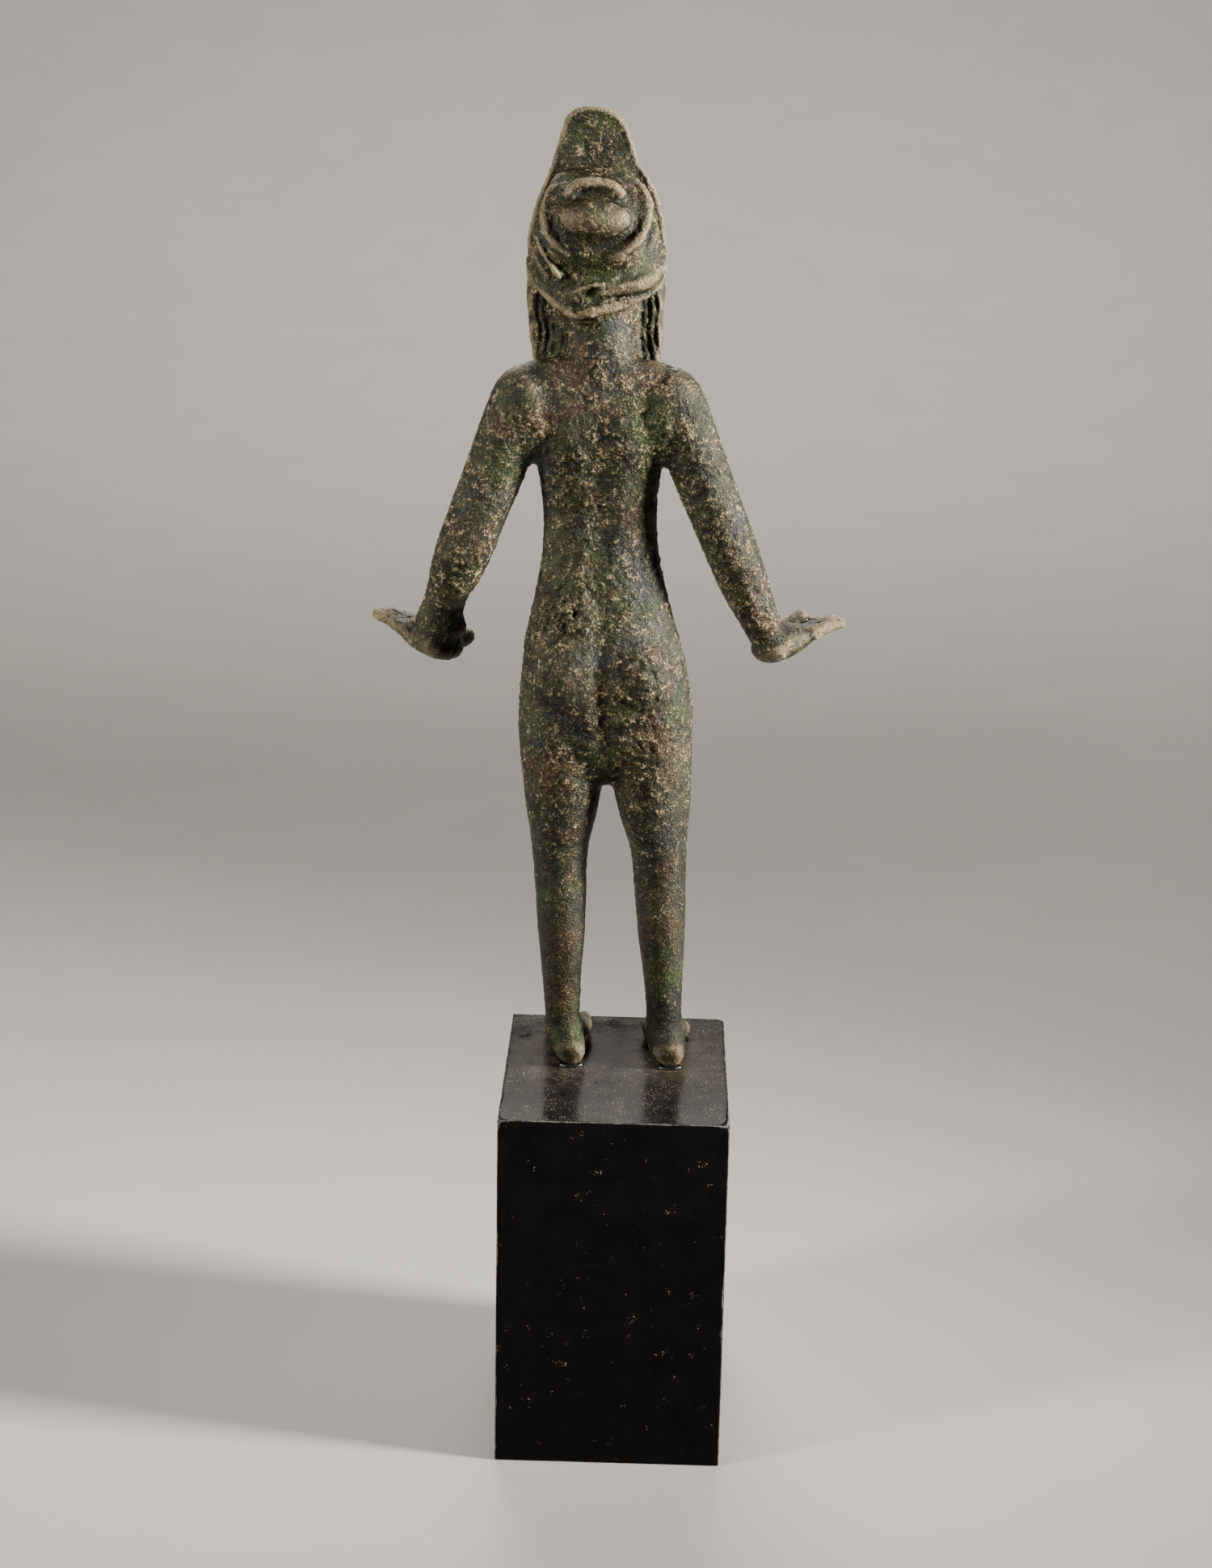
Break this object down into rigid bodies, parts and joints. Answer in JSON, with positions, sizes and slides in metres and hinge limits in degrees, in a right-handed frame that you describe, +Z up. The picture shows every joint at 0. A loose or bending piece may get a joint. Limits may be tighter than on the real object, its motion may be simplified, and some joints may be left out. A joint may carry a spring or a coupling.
{
  "type": "bronze female figure",
  "caption": "Small cast bronze of a standing nude woman with open hands and a tall thin headdress, on a plain black stone block.",
  "frame": {"origin": "middle of the stone block's underside, where it rests on a shelf", "axes": "+Z up; the figure faces -Y, so the pictured back faces +Y; +X is the figure's left"},
  "size_m": [0.1255, 0.072, 0.3523],
  "materials": {
    "patinated_bronze": "dark olive patina with pale encrustation, dull",
    "black_stone": "polished, dusty, worn at the edges",
    "mounting_wax": "satin black wax"
  },
  "bodies": {
    "root": {"bronze_figure": "patinated_bronze", "stone_block": "black_stone", "left_foot_wax": "mounting_wax", "right_foot_wax": "mounting_wax"}
  },
  "joints": []
}
